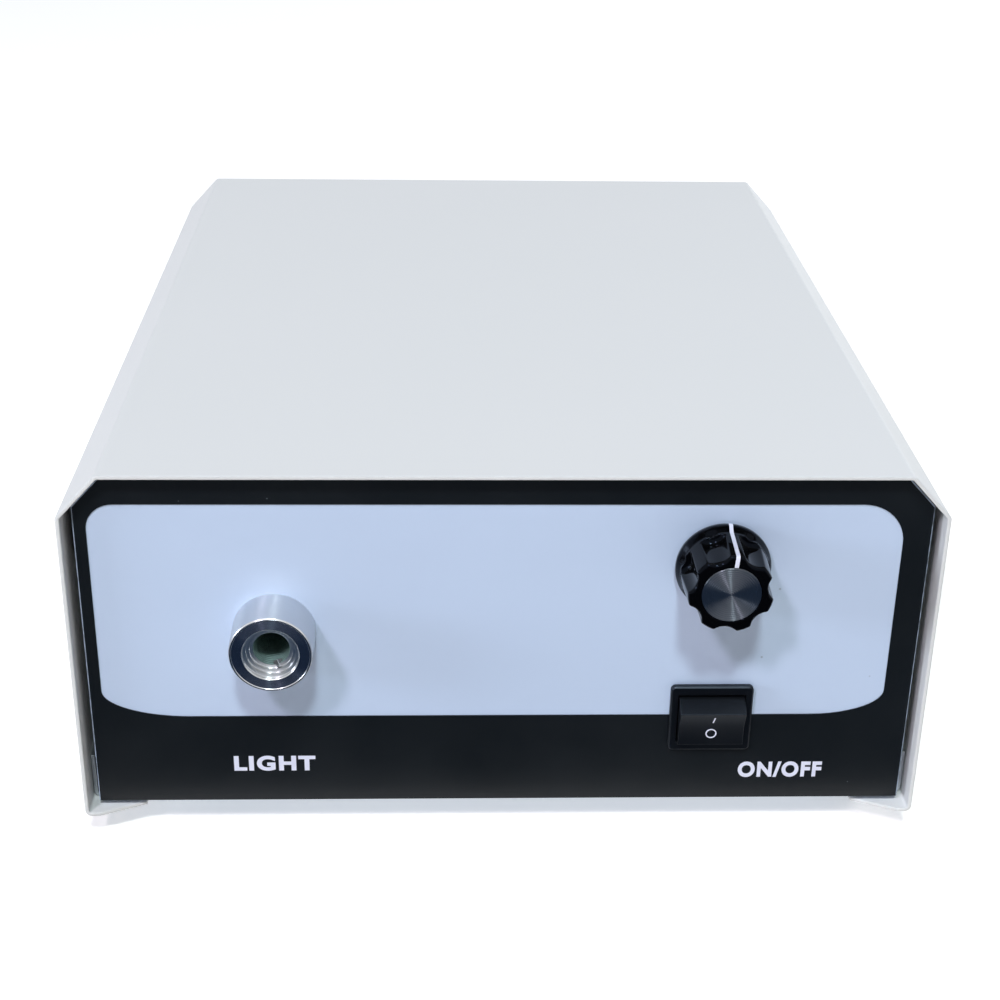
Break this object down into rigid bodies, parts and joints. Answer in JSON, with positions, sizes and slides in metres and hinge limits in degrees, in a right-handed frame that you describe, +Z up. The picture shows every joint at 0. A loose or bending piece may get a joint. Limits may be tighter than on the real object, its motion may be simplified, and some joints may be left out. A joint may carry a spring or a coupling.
{
  "type": "fiber optic illuminator",
  "caption": "Bench light source: folded white steel case, light-guide socket, dimmer knob and mains rocker on the front, fan and fused inlet at the rear.",
  "frame": {"origin": "on the bench, under the middle of the box that holds the whole instrument", "axes": "+Z up, the front panel faces -Y, +X is to the right seen from the front"},
  "size_m": [0.2588, 0.32, 0.123],
  "materials": {
    "cover_paint": "white powder coat, fine texture, satin",
    "panel_paint": "smooth white enamel, satin",
    "border_print": "black printed film, satin",
    "zinc_steel": "zinc plated",
    "screw_steel": "bright zinc plated",
    "turned_aluminium": "turned, bright",
    "cast_aluminium": "natural, matt",
    "black_bakelite": "glossy thermoset",
    "black_nylon": "black moulded nylon, satin",
    "brass": "turned brass",
    "black_rubber": "moulded rubber",
    "glass": "heat absorbing glass",
    "reflector_glass": "dichroic coated",
    "ceramic": "unglazed steatite",
    "winding": "polyester tape over winding",
    "circuit_board": "solder mask",
    "component_red": "epoxy dipped",
    "component_green": "moulded polyamide"
  },
  "bodies": {
    "chassis": {"top_cover": "cover_paint", "chassis_tray": "zinc_steel", "front_plate": "panel_paint", "border_film": "border_print", "rear_panel": "cover_paint", "rubber_feet": "black_rubber", "foot_screws": "screw_steel", "cover_screws": "screw_steel", "panel_screws": "screw_steel", "front_plate_nuts": "screw_steel", "light_guide_socket": "turned_aluminium", "socket_nut": "cast_aluminium", "socket_locking_screw": "screw_steel", "potentiometer_body": "cast_aluminium", "potentiometer_washer": "screw_steel", "potentiometer_nut": "brass", "switch_housing": "black_nylon", "switch_terminals": "brass", "lamp_bracket": "zinc_steel", "lamp_ring": "cast_aluminium", "lamp_reflector": "reflector_glass", "lamp_spring": "screw_steel", "lamp_capsule": "glass", "lamp_pins": "screw_steel", "lamp_holder": "ceramic", "filter_bracket": "zinc_steel", "heat_filter": "glass", "filter_clips": "screw_steel", "bracket_screws": "screw_steel", "fan_frame": "black_nylon", "fan_guard": "screw_steel", "fan_screws": "screw_steel", "fan_nuts": "screw_steel", "inlet_housing": "black_nylon", "inlet_pins": "brass", "inlet_screws": "screw_steel", "earth_stud": "brass", "earth_nut": "brass", "transformer_coil": "winding", "transformer_pads": "black_rubber", "transformer_clamp": "zinc_steel", "transformer_bolt": "screw_steel", "transformer_nut": "screw_steel", "dimmer_board": "circuit_board", "board_standoffs": "brass", "board_screws": "screw_steel", "heat_sink": "cast_aluminium", "triac": "black_nylon", "filter_capacitor": "component_red", "choke": "cast_aluminium", "terminal_block": "component_green"},
    "knob": {"knob_body": "black_bakelite", "knob_disc": "turned_aluminium", "knob_bush": "brass", "knob_locking_screw": "screw_steel", "potentiometer_shaft": "screw_steel"},
    "rocker": {"switch_rocker": "black_nylon"},
    "rotor": {"fan_rotor": "black_nylon"},
    "drawer": {"fuse_drawer": "black_nylon", "fuse": "glass"}
  },
  "joints": [
    {"name": "knob_turn", "type": "hinge", "parent": "chassis", "child": "knob", "pos_m": [0.0632, -0.14155, 0.0927], "axis": [0, 1, 0], "range_deg": [-155, 145]},
    {"name": "rocker_tilt", "type": "hinge", "parent": "chassis", "child": "rocker", "pos_m": [0.063, -0.14065, 0.0409], "axis": [-1, 0, 0], "range_deg": [0, 26]},
    {"name": "fan_spin", "type": "hinge", "parent": "chassis", "child": "rotor", "pos_m": [-0.0677, 0.15365, 0.068], "axis": [0, 1, 0], "continuous": true},
    {"name": "fuse_drawer_slide", "type": "slide", "parent": "chassis", "child": "drawer", "axis": [0, 1, 0], "range_m": [0, 0.018]}
  ]
}
